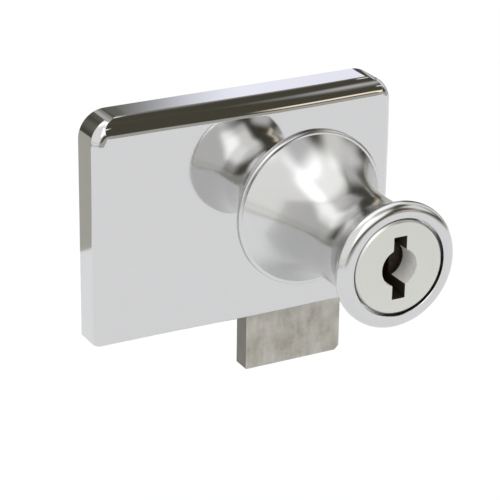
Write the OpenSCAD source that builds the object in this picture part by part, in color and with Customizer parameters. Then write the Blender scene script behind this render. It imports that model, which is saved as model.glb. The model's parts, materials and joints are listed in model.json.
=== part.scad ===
// Clamp-on lock for a glass cabinet door, drawn locked, with its bolt thrown downwards.
// The modules work with the plug axis along Z and the front of the lock towards +Z;
// as_fitted() then stands the lock up, so that Z is up and its front looks along -Y.
// The origin is on the plug axis, at the plane where the front pad meets the glass.

/* [Plug] */
// Diameter of the plug's body
plug_d = 12.2; // [11.4:0.1:13.5]
// Step from the plug's body out to its head
head_step = 1.1; // [0.8:0.1:1.5]
// Thickness of the plug's head
head_t = 1.6; // [1.2:0.1:2.4]
// Bevel round the front of the plug's head
head_bevel = 0.3; // [0.1:0.05:0.5]
// Width of the key slot
key_slot_w = 2.15; // [1.8:0.05:2.5]
// Height of the key slot
key_slot_h = 9.6; // [8:0.1:10.4]
// Diameter of the round recess at the mouth of the key slot
recess_d = 5.8; // [4.5:0.1:6.6]
// Depth of the round recess
recess_depth = 4.6; // [2:0.1:6]
// Side of the square tail that turns the cam
tail_w = 4; // [3.6:0.1:4.4]
// Running clearance round the plug
plug_fit = 0.05; // [0.02:0.01:0.08]

/* [Wafers] */
// Width of a wafer
wafer_w = 5; // [4.4:0.1:5.6]
// Thickness of a wafer
wafer_t = 0.9; // [0.7:0.05:1]
// Spacing of the wafers along the plug
wafer_pitch = 2; // [1.8:0.05:2.4]
// Distance of the first wafer behind the plug's face
first_wafer = 8; // [7:0.1:9]
// How far a wafer springs out of the plug
wafer_out = 0.6; // [0.4:0.05:0.8]
// Clearance of a wafer in its slot, on each side
wafer_gap = 0.1; // [0.06:0.01:0.15]
// Height of the window in a wafer
window_h = 7.8; // [7:0.1:8.4]
// Height of the ear that a wafer's spring pushes on
ear_h = 0.8; // [0.6:0.1:1]

/* [Wafer springs] */
// Diameter of the spring wire
wire_d = 0.22; // [0.16:0.02:0.24]
// Diameter of the coil at the middle of the wire
coil_d = 0.84; // [0.7:0.02:0.9]
// Rise of the coil in one turn
coil_pitch = 0.66; // [0.65:0.01:0.72]
// Turns in one spring
coil_turns = 3.5; // [2.5:0.5:4]

/* [Knob] */
// Length of the knob, from the housing to the plug's face
knob_l = 26; // [24:0.5:32]
// Wall of the neck outside the wafer grooves
neck_wall = 0.55; // [0.4:0.05:1.5]
// Reach of the trumpet-shaped base beyond the neck
base_reach = 4.95; // [4:0.05:6]
// Width of the lip round the base
lip_w = 0.6; // [0.4:0.1:1]
// Height of the lip round the base
lip_h = 0.7; // [0.5:0.1:1.2]
// Radius of the hollow curve from the lip to the neck
base_curve_r = 22; // [16:0.5:26]
// Radius of the hollow curve from the neck to the flange
flange_curve_r = 16; // [10:0.5:20]
// Width of the flange round the plug's head
flange_rim_w = 2.15; // [1.8:0.05:3]
// Radius of the rounded edge of the flange
flange_edge_r = 1.3; // [0.8:0.1:1.6]
// Gap round the plug's head
head_gap = 0.3; // [0.15:0.05:0.4]

/* [Housing] */
// Reach of the housing to the left of the plug axis
left_reach = 35.4; // [28:0.1:45]
// Wall thickness of the housing
wall = 1.2; // [1.1:0.1:1.6]
// Radius of the two upper corners
corner_r = 4.2; // [3.6:0.1:7]
// Radius of the front edge at both sides
edge_r = 1.8; // [1.5:0.1:2.4]
// Radius of the front edge along the top
crest_r = 3; // [2.8:0.1:3.4]
// Rounding of the lower front edge
foot_r = 0.6; // [0.3:0.1:1]
// Diameter of the screw bosses
boss_d = 4.1; // [3.6:0.1:5]
// Thickness of the ribs that guide the bolt
rib_t = 0.9; // [0.8:0.1:1.2]

/* [Bolt] */
// Width of the bolt's nose
bolt_w = 16.8; // [14:0.1:20]
// Thickness of the bolt
bolt_t = 3.3; // [2.6:0.1:4]
// Travel of the bolt, which is also how far its nose stands out
bolt_throw = 10.2; // [8:0.1:12]
// Offset of the bolt's middle to the left of the plug axis
bolt_shift = 0.7; // [0:0.1:1.5]
// Width of each stop shoulder beside the nose
shoulder_w = 1.5; // [1:0.1:2.5]
// Bar of the bolt above its window
upper_bar = 4.15; // [3:0.05:6]
// Bar of the bolt below its window
lower_bar = 1.95; // [1.5:0.05:4]
// Wall at the closed end of the drive slot
slot_wall = 1.8; // [1.2:0.1:2.5]
// Chamfer at the nose's lower right corner
nose_chamfer = 0.7; // [0.2:0.1:1.5]
// Clearance of the bolt at its guides
bolt_gap = 0.15; // [0.1:0.01:0.2]

/* [Cam] */
// Thickness of the cam
cam_t = 1; // [0.8:0.1:1.4]
// Width of the cam's arm
arm_w = 5.2; // [4.6:0.1:6]
// Radius of the cam's hub
hub_r = 4.6; // [4.2:0.1:5]
// Diameter of the drive pin
pin_d = 2.6; // [2.2:0.1:3]
// Diameter of the drive pin's riveted shank
pin_shank_d = 2; // [1.6:0.1:2]
// Clearance of the drive pin in the bolt's slot, above and below
pin_play = 0.3; // [0.28:0.01:0.4]
// Gap between the cam and the bolt
cam_gap = 0.2; // [0.15:0.01:0.3]
// End play of the cam on its washer
cam_play = 0.05; // [0.03:0.01:0.1]
// Thickness of the washer under the cam
washer_t = 0.3; // [0.2:0.05:0.5]
// Width of the washer's ring
washer_ring = 2; // [1.5:0.1:3]

/* [Clamp] */
// Thickness of the glass that the clamp is set for
glass_t = 6; // [4:0.5:8]
// Thickest glass that the clamp takes
glass_max = 8; // [8:0.5:10]
// Thickness of the frame's plate behind the housing
frame_t = 1.2; // [1.1:0.1:2]
// Inset of the frame's plate from the housing's edge
frame_inset = 1; // [0.6:0.1:1.6]
// Thickness of the frame's web beside the glass
web_t = 2; // [1.5:0.1:3]
// Thickness of the rear jaw
jaw_t = 2.5; // [2:0.1:4]
// Height of the rear jaw
jaw_h = 19; // [14:0.5:20]
// Reach of the rear jaw to the left of the plug axis
jaw_left = 20; // [14:0.5:26]
// Radius of the corners of the jaw, the plate and its pad
jaw_corner_r = 2.5; // [1.5:0.1:4]
// Thickness of the front pad
pad_t = 1; // [0.6:0.1:2]
// Thickness of the rear pad
rear_pad_t = 1; // [0.6:0.1:2]
// Thickness of the pressure plate
plate_t = 1.5; // [1.2:0.1:2.5]
// Margin of each pad inside what carries it
pad_margin = 0.6; // [0.3:0.1:1.5]
// Gap between the pressure plate and the web
web_gap = 2.4; // [1:0.1:4]

/* [Screws] */
// Diameter of the small countersunk screws
screw_d = 1.5; // [1.2:0.1:1.6]
// Head diameter of the small countersunk screws
screw_head_d = 3.6; // [3.2:0.1:3.7]
// Bite of the frame screws in their bosses
frame_screw_bite = 3.6; // [2.5:0.1:4]
// Bite of the knob screws in the knob's base
knob_screw_bite = 2; // [1.6:0.1:2.2]
// Distance of the knob screws from the plug axis
knob_screw_r = 8.75; // [8.6:0.05:9]
// Diameter of the cam screw
cam_screw_d = 2.5; // [2:0.1:2.8]
// Length of the cam screw in the plug
cam_screw_bite = 4.5; // [3:0.1:5]
// Head diameter of the cam screw
cam_head_d = 5.5; // [5:0.1:6]
// Head height of the cam screw
cam_head_h = 1.4; // [1:0.1:1.8]
// Diameter of the set screws
set_d = 5; // [4:0.1:6]
// Length of a set screw
set_l = 6; // [5:0.1:8]
// Distance between the set screws
set_spacing = 14; // [9:0.5:18]
// Hexagon socket of a set screw, across its corners
socket_d = 2.9; // [2.3:0.1:3]
// Depth of a set screw's socket
socket_depth = 2.2; // [1.5:0.1:3]
// Depth of a set screw's seat in the pressure plate
seat_depth = 0.5; // [0.3:0.1:0.7]

/* [Clearances] */
// Radial clearance of a screw in its hole
screw_fit = 0.05; // [0.03:0.01:0.08]
// Gap at the ends of the bolt's travel
end_gap = 0.2; // [0.1:0.05:0.3]
// Gap round the plug and the wafers where nothing runs
free_gap = 0.2; // [0.15:0.05:0.3]
// Clearance round the cam screw's head in the bolt's window
window_gap = 0.3; // [0.2:0.05:0.5]
// Overlap that fuses a rib or a boss into the wall beside it
sink = 0.3; // [0.2:0.05:0.5]

/* [Hidden] */
$fn = 64;
cut = 1;
seam = 0.01;

// Levels along the plug axis, counted forward from the glass
rim_z = pad_t + frame_t;
bolt_z = rim_z + bolt_gap;
cam_z = bolt_z + bolt_t + cam_gap;
washer_z = cam_z + cam_t + cam_play;
inner_z = washer_z + washer_t;
face_z = inner_z + wall;
body_d = face_z - rim_z;
front_z = face_z + knob_l;
jaw_z = -(glass_max + rear_pad_t + plate_t + end_gap);
plate_z = -(glass_t + rear_pad_t + plate_t);

// Plug, knob and wafers
plug_r = plug_d / 2;
head_r = plug_r + head_step;
bore_r = plug_r + plug_fit;
groove_r = bore_r + wafer_out + free_gap;
neck_r = groove_r + neck_wall;
base_r = neck_r + base_reach;
flange_r = head_r + head_gap + flange_rim_w;
wafer_count = 6;
bitting = [0.4, -0.3, 0.2, -0.4, 0.1, 0.3];
key_depth = first_wafer + (wafer_count - 1) * wafer_pitch + wafer_t + free_gap;
spring_l = coil_turns * coil_pitch + wire_d;
spring_x = wafer_w / 2 + wafer_gap + (coil_d + wire_d) / 2 + wafer_gap;
ear_reach = spring_x + (coil_d + wire_d) / 2;

// Turn of the plug, with the drive pin an eighth of a turn below its level at the start
plug_turn = 90;
pin_r = pin_d / 2;
crank_r = bolt_throw / (2 * sin(plug_turn / 2));
pin_x = -crank_r * cos(plug_turn / 2);
pin_y = -crank_r * sin(plug_turn / 2);

// Bolt and the housing round it
window_r = cam_head_d / 2 + window_gap;
nose_left = -bolt_shift - bolt_w / 2;
nose_right = -bolt_shift + bolt_w / 2;
tail_left = min(nose_left - shoulder_w, -crank_r - pin_r - pin_play - slot_wall);
tail_right = nose_right + shoulder_w;
tail_top = window_r + upper_bar;
shoulder_y = -bolt_throw - window_r - lower_bar;
top_reach = tail_top + bolt_throw + end_gap + wall;
low_reach = -shoulder_y + end_gap + wall;
boss_in = wall + boss_d / 2 - sink;
right_reach = tail_right + bolt_gap + boss_d + free_gap - sink + wall;
nose_end = -low_reach - bolt_throw;
boss_upper_y = top_reach - corner_r - rib_t;
boss_lower_y = -(low_reach - boss_in - boss_d / 2);
boss_places = [for (x = [-left_reach + boss_in, right_reach - boss_in], y = [boss_lower_y, boss_upper_y])
    [x, y]];
knob_screw_places = [for (a = [45 : 90 : 315]) knob_screw_r * [cos(a), sin(a)]];

// Clamp
web_right = right_reach - frame_inset;
web_left = web_right - web_t;
plate_left = -jaw_left + pad_margin;
plate_right = web_left - web_gap;
set_x = (plate_left + plate_right) / 2;
set_r = set_d / 2;

// Stands the lock up from its working frame
module as_fitted() {
    rotate([90, 0, 0]) children();
}

// Section of a wall whose outer front corner is rounded
module edge_section(reach, depth, r) {
    square([reach - r, depth]);
    square([reach, depth - r]);
    translate([reach - r, depth - r]) circle(r);
}

// Right half of a rolled slab, with the centre of its rounded corner at the origin
module rolled_half(w, h, d, c, e) {
    rotate([90, 0, 0]) linear_extrude(h) {
        translate([-w, 0]) square([w + c - e, d]);
        edge_section(c, d, e);
    }
    rotate([0, 0, 90]) rotate([90, 0, 0]) translate([0, 0, -w]) linear_extrude(w) edge_section(c, d, e);
    rotate_extrude(angle = 90) edge_section(c, d, e);
}

// Slab with rounded upper corners and a rounded front edge on its left, top and right
module rolled_slab(l, r, t, b, d, c, e) {
    half_w = (l + r) / 2 - c + sink;
    translate([r - c, t - c, 0]) rolled_half(half_w, t + b - c, d, c, e);
    translate([c - l, t - c, 0]) mirror([1, 0, 0]) rolled_half(half_w, t + b - c, d, c, e);
}

// Outline of a plate with two rounded upper corners
module plate_outline(l, r, t, b, c) {
    translate([-l, -b]) square([l + r, t + b - c]);
    translate([c - l, -b]) square([l + r - 2 * c, t + b]);
    translate([c - l, t - c]) circle(c);
    translate([r - c, t - c]) circle(c);
}

// Rectangle from corner to corner with all four corners rounded
module rounded_rect(x0, y0, x1, y1, c) {
    translate([x0 + c, y0]) square([x1 - x0 - 2 * c, y1 - y0]);
    translate([x0, y0 + c]) square([x1 - x0, y1 - y0 - 2 * c]);
    for (x = [x0 + c, x1 - c], y = [y0 + c, y1 - c]) translate([x, y]) circle(c);
}

// Countersunk screw with its head's flat side at z = 0 and its point towards +Z
module countersunk(shank_d, head_d, reach) {
    cone_h = (head_d - shank_d) / 2;
    slot_w = head_d / 6;
    difference() {
        union() {
            cylinder(d1 = head_d, d2 = shank_d, h = cone_h);
            cylinder(d = shank_d, h = reach);
        }
        translate([-slot_w / 2, -head_d, -cut]) cube([slot_w, 2 * head_d, cut + slot_w]);
    }
}

// Hole for a countersunk screw through a plate of the given thickness
module countersink(shank_d, head_d, plate) {
    cone_h = (head_d - shank_d) / 2;
    cylinder(d1 = head_d + 2 * screw_fit, d2 = shank_d + 2 * screw_fit, h = cone_h);
    cylinder(d = shank_d + 2 * screw_fit, h = plate + cut);
    translate([0, 0, -cut]) cylinder(d = head_d + 2 * screw_fit, h = cut);
}

// Cutter that rounds the housing's front edge at the given height, above or below that edge
module front_rounding(height, above, r) {
    span = left_reach + right_reach + 2 * cut;
    low = above ? height - r : height - cut;
    middle = above ? height - r : height + r;
    difference() {
        translate([-left_reach - cut, low, face_z - r]) cube([span, r + cut, r + cut]);
        translate([-left_reach - 2 * cut, middle, face_z - r]) rotate([0, 90, 0])
            cylinder(r = r, h = span + 2 * cut);
    }
}

// Hollow of the housing, open at its rim
module housing_hollow() {
    inner_edge = max(edge_r - wall, wall / 4);
    translate([0, 0, rim_z - cut])
        rolled_slab(left_reach - wall, right_reach - wall, top_reach - wall, low_reach - wall,
            body_d - wall + cut, corner_r - wall, inner_edge);
}

// Ribs beside the bolt's tail, and the four screw bosses
module housing_inside() {
    rib_low = -low_reach + wall - sink;
    rib_h = top_reach + low_reach - 2 * wall + 2 * sink;
    for (x = [tail_left - bolt_gap - rib_t, tail_right + bolt_gap])
        translate([x, rib_low, rim_z]) cube([rib_t, rib_h, body_d - wall + sink]);
    for (p = boss_places)
        translate([p.x, p.y, rim_z]) cylinder(d = boss_d, h = body_d - wall + sink);
}

module housing() {
    color("#c9cac8") as_fitted() difference() {
        union() {
            difference() {
                translate([0, 0, rim_z])
                    rolled_slab(left_reach, right_reach, top_reach, low_reach, body_d, corner_r, edge_r);
                housing_hollow();
            }
            housing_inside();
        }
        front_rounding(-low_reach, false, foot_r);
        front_rounding(top_reach, true, crest_r);
        translate([0, 0, inner_z - cut]) cylinder(r = plug_r + free_gap, h = wall + 2 * cut);
        translate([nose_left - bolt_gap, -low_reach - cut, rim_z - cut])
            cube([bolt_w + 2 * bolt_gap, wall + sink + 2 * cut, cut + bolt_t + 2 * bolt_gap]);
        for (p = boss_places)
            translate([p.x, p.y, rim_z - cut])
                cylinder(d = screw_d + 2 * screw_fit, h = frame_screw_bite + end_gap + cut);
        for (p = knob_screw_places)
            translate([p.x, p.y, inner_z]) countersink(screw_d, screw_head_d, wall);
    }
}

// Half section of the knob, with its length along Y; the flange's hollow curve runs smoothly into its edge
module knob_section() {
    base_w = base_reach - lip_w;
    base_h = lip_h + sqrt(pow(base_curve_r, 2) - pow(base_curve_r - base_w, 2));
    lip_r = lip_h / 2;
    rim = [flange_r - flange_edge_r, knob_l - flange_edge_r];
    curve_x = neck_r + flange_curve_r;
    curve_h = sqrt(pow(flange_curve_r + flange_edge_r - seam, 2) - pow(curve_x - rim.x, 2));
    curve = [curve_x, rim.y - curve_h];
    meet = curve + (rim - curve) * flange_curve_r / (flange_curve_r + flange_edge_r);
    square([neck_r, rim.y]);
    square([base_r - lip_r, lip_h]);
    translate([base_r - lip_r, lip_r]) circle(lip_r);
    difference() {
        square([base_r - lip_r, base_h]);
        translate([neck_r + base_curve_r, base_h]) circle(base_curve_r);
    }
    difference() {
        translate([0, curve.y]) square([meet.x, meet.y - curve.y]);
        translate(curve) circle(flange_curve_r);
    }
    translate(rim) circle(flange_edge_r);
    translate([0, meet.y]) square([rim.x, knob_l - meet.y]);
}

// Grooves that the wafers spring into, with the bolt thrown and with it drawn
module wafer_grooves() {
    groove_l = (wafer_count - 1) * wafer_pitch + wafer_t + 2 * free_gap;
    groove_w = wafer_w + 2 * free_gap;
    for (a = [0, plug_turn]) rotate([0, 0, a]) intersection() {
        translate([-groove_w / 2, -groove_r - cut, front_z - first_wafer - groove_l + wafer_t / 2 + free_gap])
            cube([groove_w, 2 * (groove_r + cut), groove_l]);
        translate([0, 0, face_z]) cylinder(r = groove_r, h = knob_l);
    }
}

module knob() {
    color("#c4c4c2") as_fitted() difference() {
        translate([0, 0, face_z]) rotate_extrude() difference() {
            knob_section();
            translate([0, -cut]) square([bore_r, knob_l + 2 * cut]);
            translate([0, knob_l - head_t - cam_play]) square([head_r + head_gap, head_t + cam_play + cut]);
        }
        wafer_grooves();
        for (p = knob_screw_places)
            translate([p.x, p.y, face_z - cut])
                cylinder(d = screw_d + 2 * screw_fit, h = knob_screw_bite + free_gap + cut);
    }
}

module knob_screws() {
    color("#a8a59c") as_fitted() for (p = knob_screw_places)
        translate([p.x, p.y, inner_z]) countersunk(screw_d, screw_head_d, wall + knob_screw_bite);
}

// Where the middle of a wafer lies along the plug axis
function wafer_z(i) = front_z - first_wafer - i * wafer_pitch;

// Even wafers spring upwards and odd ones downwards, which is half a turn round the plug axis
module at_wafer(i) {
    translate([0, 0, wafer_z(i)]) rotate([0, 0, 180 * (i % 2)]) children();
}

// Slot of one wafer and the pocket beside it for its ear and spring
module wafer_slot() {
    slot_w = wafer_w + 2 * wafer_gap;
    slot_t = wafer_t + 2 * wafer_gap;
    pocket_t = coil_d + wire_d + 2 * wafer_gap;
    translate([-slot_w / 2, -plug_d, -slot_t / 2]) cube([slot_w, 2 * plug_d, slot_t]);
    translate([0, -spring_l, -pocket_t / 2])
        cube([ear_reach + wafer_gap, spring_l + ear_h + wafer_out + wafer_gap, pocket_t]);
}

module plug() {
    body_l = front_z - head_t - cam_z - cam_t;
    color("#cfcfcb") as_fitted() difference() {
        union() {
            translate([-tail_w / 2, -tail_w / 2, cam_z]) cube([tail_w, tail_w, cam_t + sink]);
            translate([0, 0, cam_z + cam_t]) cylinder(r = plug_r, h = body_l + sink);
            translate([0, 0, front_z - head_t]) cylinder(r = head_r, h = head_t - head_bevel);
            translate([0, 0, front_z - head_bevel])
                cylinder(r1 = head_r, r2 = head_r - head_bevel, h = head_bevel);
        }
        translate([-key_slot_w / 2, -key_slot_h / 2, front_z - key_depth])
            cube([key_slot_w, key_slot_h, key_depth + cut]);
        translate([0, 0, front_z - recess_depth]) cylinder(d = recess_d, h = recess_depth + cut);
        for (i = [0 : wafer_count - 1]) at_wafer(i) wafer_slot();
        translate([0, 0, cam_z - cut])
            cylinder(d = cam_screw_d + 2 * screw_fit, h = cut + cam_t + cam_screw_bite + free_gap);
    }
}

// One wafer, level with the plug, whose window is set off by its bitting
module wafer(i) {
    window_w = key_slot_w + 2 * free_gap;
    side = i % 2 == 0 ? 1 : -1;
    color("#c9a45c") as_fitted() at_wafer(i) translate([0, 0, -wafer_t / 2]) difference() {
        union() {
            intersection() {
                translate([-wafer_w / 2, -plug_d / 2, 0]) cube([wafer_w, plug_d, wafer_t]);
                cylinder(r = plug_r - plug_fit, h = wafer_t);
            }
            cube([ear_reach, ear_h, wafer_t]);
        }
        translate([-window_w / 2, side * bitting[i] - window_h / 2, -cut])
            cube([window_w, window_h, wafer_t + 2 * cut]);
    }
}

// Middle of the wire at each step along a wafer's spring
coil_steps = 8;
coil_sides = 6;
coil_rings = coil_turns * coil_steps;
function coil_mid(j) = let (a = 360 * j / coil_steps)
    [coil_d / 2 * cos(a), j * coil_pitch / coil_steps, coil_d / 2 * sin(a)];
function coil_ring(j) = let (a = 360 * j / coil_steps, w = wire_d / 2)
    [for (k = [0 : coil_sides - 1]) let (b = 360 * k / coil_sides)
        coil_mid(j) + w * [cos(a) * cos(b), sin(b), sin(a) * cos(b)]];
coil_gap = min([for (j = [0 : coil_rings - coil_steps / 2], k = [j + coil_steps / 2 : coil_rings])
    norm(coil_mid(j) - coil_mid(k)) - wire_d]);
echo("least gap between turns of a wafer spring, mm", coil_gap);

// Closed helical spring standing along Y from y = 0
module coil_spring() {
    n = coil_sides;
    points = [for (j = [0 : coil_rings]) each coil_ring(j)];
    walls = [for (j = [0 : coil_rings - 1], k = [0 : n - 1]) let (m = (k + 1) % n, a = j * n, b = a + n)
        each [[a + k, a + m, b + m], [a + k, b + m, b + k]]];
    last = coil_rings * n;
    caps = [for (k = [1 : n - 2]) each [[0, k + 1, k], [last, last + k, last + k + 1]]];
    translate([0, wire_d / 2, 0]) polyhedron(points, concat(walls, caps));
}

// Springs of every other wafer, in the pockets under the wafers' ears
module wafer_springs(first) {
    color("#b9bcc0") as_fitted() for (i = [first : 2 : wafer_count - 1])
        at_wafer(i) translate([spring_x, -spring_l, 0]) coil_spring();
}

module cam() {
    seat = tail_w + 2 * screw_fit;
    arm_turn = 180 + plug_turn / 2;
    color("#a39d8e") as_fitted() translate([0, 0, cam_z]) difference() {
        union() {
            cylinder(r = hub_r, h = cam_t);
            rotate([0, 0, arm_turn]) translate([0, -arm_w / 2, 0]) cube([crank_r, arm_w, cam_t]);
            translate([pin_x, pin_y, 0]) cylinder(d = arm_w, h = cam_t);
        }
        translate([-seat / 2, -seat / 2, -cut]) cube([seat, seat, cam_t + 2 * cut]);
        translate([pin_x, pin_y, -cut]) cylinder(d = pin_shank_d + 2 * screw_fit, h = cam_t + 2 * cut);
    }
}

module cam_screw() {
    slot_w = cam_head_d / 6;
    color("#b5b2aa") as_fitted() difference() {
        union() {
            translate([0, 0, cam_z - cam_head_h]) cylinder(d = cam_head_d, h = cam_head_h);
            translate([0, 0, cam_z - sink]) cylinder(d = cam_screw_d, h = sink + cam_t + cam_screw_bite);
        }
        translate([-cam_head_d, -slot_w / 2, cam_z - cam_head_h - cut])
            cube([2 * cam_head_d, slot_w, cut + cam_head_h / 2]);
    }
}

module cam_washer() {
    color("#c7b27a") as_fitted() translate([0, 0, washer_z]) difference() {
        cylinder(r = plug_r + free_gap + washer_ring, h = washer_t);
        translate([0, 0, -cut]) cylinder(r = plug_r + free_gap, h = washer_t + 2 * cut);
    }
}

module drive_pin() {
    pin_foot = bolt_z + bolt_gap;
    color("#9b978c") as_fitted() translate([pin_x, pin_y, 0]) {
        translate([0, 0, pin_foot]) cylinder(r = pin_r, h = cam_z - pin_foot);
        translate([0, 0, cam_z - sink]) cylinder(d = pin_shank_d, h = sink + cam_t);
    }
}

module bolt() {
    slot_r = pin_r + pin_play;
    slot_left = -crank_r - slot_r;
    outline = [[nose_left, nose_end], [nose_right - nose_chamfer, nose_end],
        [nose_right, nose_end + nose_chamfer], [nose_right, shoulder_y], [tail_right, shoulder_y],
        [tail_right, tail_top], [tail_left, tail_top], [tail_left, shoulder_y], [nose_left, shoulder_y]];
    color("#9a968e") as_fitted() translate([0, 0, bolt_z]) difference() {
        linear_extrude(bolt_t) polygon(outline);
        translate([-window_r, -bolt_throw, -cut]) cube([2 * window_r, bolt_throw, bolt_t + 2 * cut]);
        for (y = [-bolt_throw, 0]) translate([0, y, -cut]) cylinder(r = window_r, h = bolt_t + 2 * cut);
        translate([slot_left, pin_y - slot_r, -cut]) cube([-slot_left, 2 * slot_r, bolt_t + 2 * cut]);
    }
}

// Web and rear jaw of the clamp frame, in the plane of X and the plug axis
module hook_section() {
    jaw_back = jaw_z - jaw_t;
    translate([-jaw_left, jaw_back]) square([jaw_left + web_right - jaw_t, jaw_t]);
    translate([web_left, jaw_z]) square([web_t, rim_z - jaw_z]);
    intersection() {
        translate([web_right - jaw_t, jaw_z]) circle(jaw_t);
        translate([web_right - jaw_t, jaw_back]) square(jaw_t);
    }
}

module clamp_frame() {
    hook_l = rim_z - jaw_z + jaw_t;
    color("#b3b2ad") as_fitted() difference() {
        union() {
            translate([0, 0, pad_t]) linear_extrude(frame_t)
                plate_outline(left_reach - frame_inset, web_right, top_reach - frame_inset,
                    low_reach - frame_inset, corner_r - frame_inset);
            intersection() {
                translate([0, jaw_h / 2, 0]) rotate([90, 0, 0]) linear_extrude(jaw_h) hook_section();
                translate([0, 0, rim_z - hook_l]) linear_extrude(hook_l)
                    rounded_rect(-jaw_left, -jaw_h / 2, web_right + jaw_corner_r, jaw_h / 2, jaw_corner_r);
            }
        }
        for (p = boss_places) translate([p.x, p.y, pad_t]) countersink(screw_d, screw_head_d, frame_t);
        for (s = [-1, 1]) translate([set_x + s * set_spacing / 2, 0, jaw_z - jaw_t - cut])
            cylinder(r = set_r + screw_fit, h = jaw_t + 2 * cut);
    }
}

module frame_screws() {
    color("#a8a59c") as_fitted() for (p = boss_places)
        translate([p.x, p.y, pad_t]) countersunk(screw_d, screw_head_d, frame_t + frame_screw_bite);
}

module front_pad() {
    inset = frame_inset + pad_margin;
    color("#5d5f5e") as_fitted() linear_extrude(pad_t) difference() {
        plate_outline(left_reach - inset, right_reach - inset, top_reach - inset, low_reach - inset,
            corner_r - inset);
        translate([web_left - pad_margin, -jaw_h / 2 - pad_margin])
            square([right_reach, jaw_h + 2 * pad_margin]);
    }
}

module rear_pad() {
    reach_y = jaw_h / 2 - 2 * pad_margin;
    color("#5d5f5e") as_fitted() translate([0, 0, plate_z + plate_t]) linear_extrude(rear_pad_t)
        rounded_rect(plate_left + pad_margin, -reach_y, plate_right - pad_margin, reach_y, jaw_corner_r);
}

module pressure_plate() {
    reach_y = jaw_h / 2 - pad_margin;
    color("#a9a8a3") as_fitted() difference() {
        translate([0, 0, plate_z]) linear_extrude(plate_t)
            rounded_rect(plate_left, -reach_y, plate_right, reach_y, jaw_corner_r);
        for (s = [-1, 1]) translate([set_x + s * set_spacing / 2, 0, plate_z - cut])
            cylinder(r = set_r / 2 + screw_fit, h = cut + seat_depth);
    }
}

// Headless set screw with a dog point, on the given side of the clamp
module set_screw(s) {
    color("#55565a") as_fitted() translate([set_x + s * set_spacing / 2, 0, plate_z]) difference() {
        union() {
            translate([0, 0, -set_l]) cylinder(r = set_r, h = set_l - screw_fit);
            translate([0, 0, -sink]) cylinder(r = set_r / 2, h = sink + seat_depth - screw_fit);
        }
        translate([0, 0, -set_l - cut]) cylinder(d = socket_d, h = cut + socket_depth, $fn = 6);
    }
}

housing();
knob();
knob_screws();
plug();
wafer(0);  // wafer_1
wafer(1);  // wafer_2
wafer(2);  // wafer_3
wafer(3);  // wafer_4
wafer(4);  // wafer_5
wafer(5);  // wafer_6
wafer_springs(0);  // raising_springs
wafer_springs(1);  // lowering_springs
cam();
cam_screw();
cam_washer();
drive_pin();
bolt();
clamp_frame();
frame_screws();
front_pad();
rear_pad();
pressure_plate();
set_screw(-1);  // left_set_screw
set_screw(1);  // right_set_screw
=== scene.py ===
import json
import math

import bmesh
import bpy
from mathutils import Matrix, Vector


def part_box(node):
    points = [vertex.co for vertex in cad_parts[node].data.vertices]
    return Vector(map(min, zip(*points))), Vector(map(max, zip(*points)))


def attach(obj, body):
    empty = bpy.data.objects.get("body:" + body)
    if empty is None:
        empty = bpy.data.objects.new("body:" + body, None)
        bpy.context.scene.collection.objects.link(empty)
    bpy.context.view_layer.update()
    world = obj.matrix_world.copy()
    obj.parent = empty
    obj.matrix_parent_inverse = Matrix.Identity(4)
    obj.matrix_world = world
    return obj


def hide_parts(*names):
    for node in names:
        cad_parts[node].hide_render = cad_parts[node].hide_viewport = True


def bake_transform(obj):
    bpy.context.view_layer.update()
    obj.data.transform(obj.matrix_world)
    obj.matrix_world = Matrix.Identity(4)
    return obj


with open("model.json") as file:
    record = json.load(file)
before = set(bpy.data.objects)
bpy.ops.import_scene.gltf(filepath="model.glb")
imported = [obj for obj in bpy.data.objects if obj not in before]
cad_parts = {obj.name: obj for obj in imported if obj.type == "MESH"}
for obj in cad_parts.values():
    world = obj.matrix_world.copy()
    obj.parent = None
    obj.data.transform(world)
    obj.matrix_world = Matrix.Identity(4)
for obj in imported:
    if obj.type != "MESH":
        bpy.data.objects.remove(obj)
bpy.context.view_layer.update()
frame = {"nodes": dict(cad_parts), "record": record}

scene = bpy.context.scene
mm = 0.001
weldGap = 0.0005 * mm  # points closer than this are one
sharpAngles = {"eased": 22, "turned": 32}  # degrees between two faces from which their edge stays crisp
print("frame loaded,", len(frame["nodes"]), "nodes")


# small helpers
def toLinear(code):
    def channel(pair):
        value = int(pair, 16) / 255
        return value / 12.92 if value <= 0.04045 else ((value + 0.055) / 1.055) ** 2.4
    return (channel(code[0:2]), channel(code[2:4]), channel(code[4:6]), 1.0)


def setInputs(tree, node, inputs):
    for key, value in inputs.items():
        if isinstance(value, bpy.types.Node):
            value = value.outputs[0]
        if isinstance(value, bpy.types.NodeSocket):
            tree.links.new(value, node.inputs[key])
        else:
            node.inputs[key].default_value = value


def addNode(tree, kind, settings=None, inputs=None):
    node = tree.nodes.new(kind)
    for name, value in (settings or {}).items():
        setattr(node, name, value)
    setInputs(tree, node, inputs or {})
    return node


def direction(azimuth, elevation):  # azimuth 0 is in front of the lock, 90 on its right
    a, e = math.radians(azimuth), math.radians(elevation)
    return Vector((math.sin(a) * math.cos(e), -math.cos(a) * math.cos(e), math.sin(e)))


# camera: fitted to the housing's edges and the knob's circles in the photograph
cameraView = {"target": (-10.17, -8.4, -5.21), "distance": 325.06, "azimuth": -28.49,
              "elevation": 22.951, "roll": 0.875, "lens": 154.87, "sensor": 36.0, "clip": (0.01, 50)}


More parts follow.
